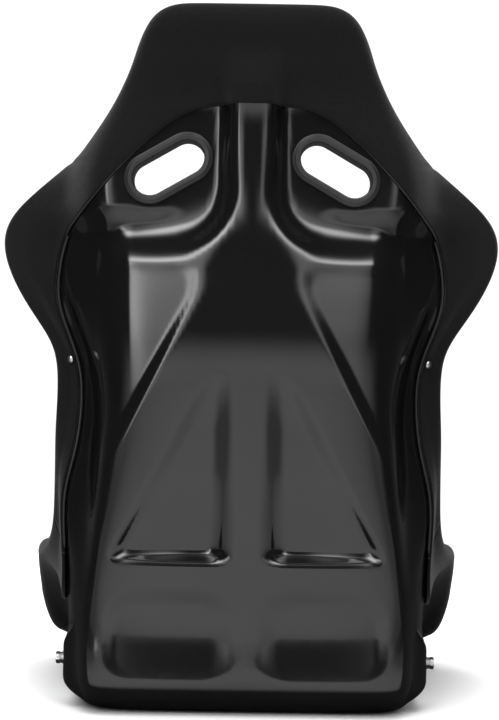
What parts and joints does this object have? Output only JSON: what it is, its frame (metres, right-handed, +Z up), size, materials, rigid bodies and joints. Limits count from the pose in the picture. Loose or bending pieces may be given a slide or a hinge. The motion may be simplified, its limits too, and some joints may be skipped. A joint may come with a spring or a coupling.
{
  "type": "racing seat",
  "caption": "Fixed-back racing bucket seat: moulded shell with ribbed back, harness slots, wrapped fabric bolsters, loose pads and side-mount bolts.",
  "frame": {"origin": "middle of the shell's flat underside, on the surface it stands on", "axes": "+Z up, the seat faces -Y, +X to the occupant's left, symmetric about X = 0"},
  "size_m": [0.6096, 0.5572, 0.836],
  "materials": {
    "gelcoat": "gloss black gelcoat over laminate",
    "knit": "matte black knit over foam",
    "moulding": "satin black moulding",
    "zinc": "zinc-plated steel",
    "nylon": "black hook-and-loop tape"
  },
  "bodies": {
    "root": {"shell": "gelcoat", "cover_front_lip": "knit", "cover_head": "knit", "seat_cushion": "knit", "lower_back_pad": "knit", "upper_back_pad": "knit", "head_pad": "knit", "thigh_bolster_left": "knit", "hip_bolster_left": "knit", "wing_cover_left": "knit", "harness_bezel_rear_left": "moulding", "harness_bezel_front_left": "moulding", "hem_trim_left": "moulding", "cushion_loop_strip_left": "nylon", "hem_rivet_left": "zinc", "side_mount_plate_left": "zinc", "side_bolt_front_left": "zinc", "flat_washer_front_left": "zinc", "spring_washer_front_left": "zinc", "weld_nut_front_left": "zinc", "side_bolt_rear_left": "zinc", "flat_washer_rear_left": "zinc", "spring_washer_rear_left": "zinc", "weld_nut_rear_left": "zinc", "thigh_bolster_right": "knit", "hip_bolster_right": "knit", "wing_cover_right": "knit", "harness_bezel_rear_right": "moulding", "harness_bezel_front_right": "moulding", "hem_trim_right": "moulding", "cushion_loop_strip_right": "nylon", "hem_rivet_right": "zinc", "side_mount_plate_right": "zinc", "side_bolt_front_right": "zinc", "flat_washer_front_right": "zinc", "spring_washer_front_right": "zinc", "weld_nut_front_right": "zinc", "side_bolt_rear_right": "zinc", "flat_washer_rear_right": "zinc", "spring_washer_rear_right": "zinc", "weld_nut_rear_right": "zinc"}
  },
  "joints": []
}
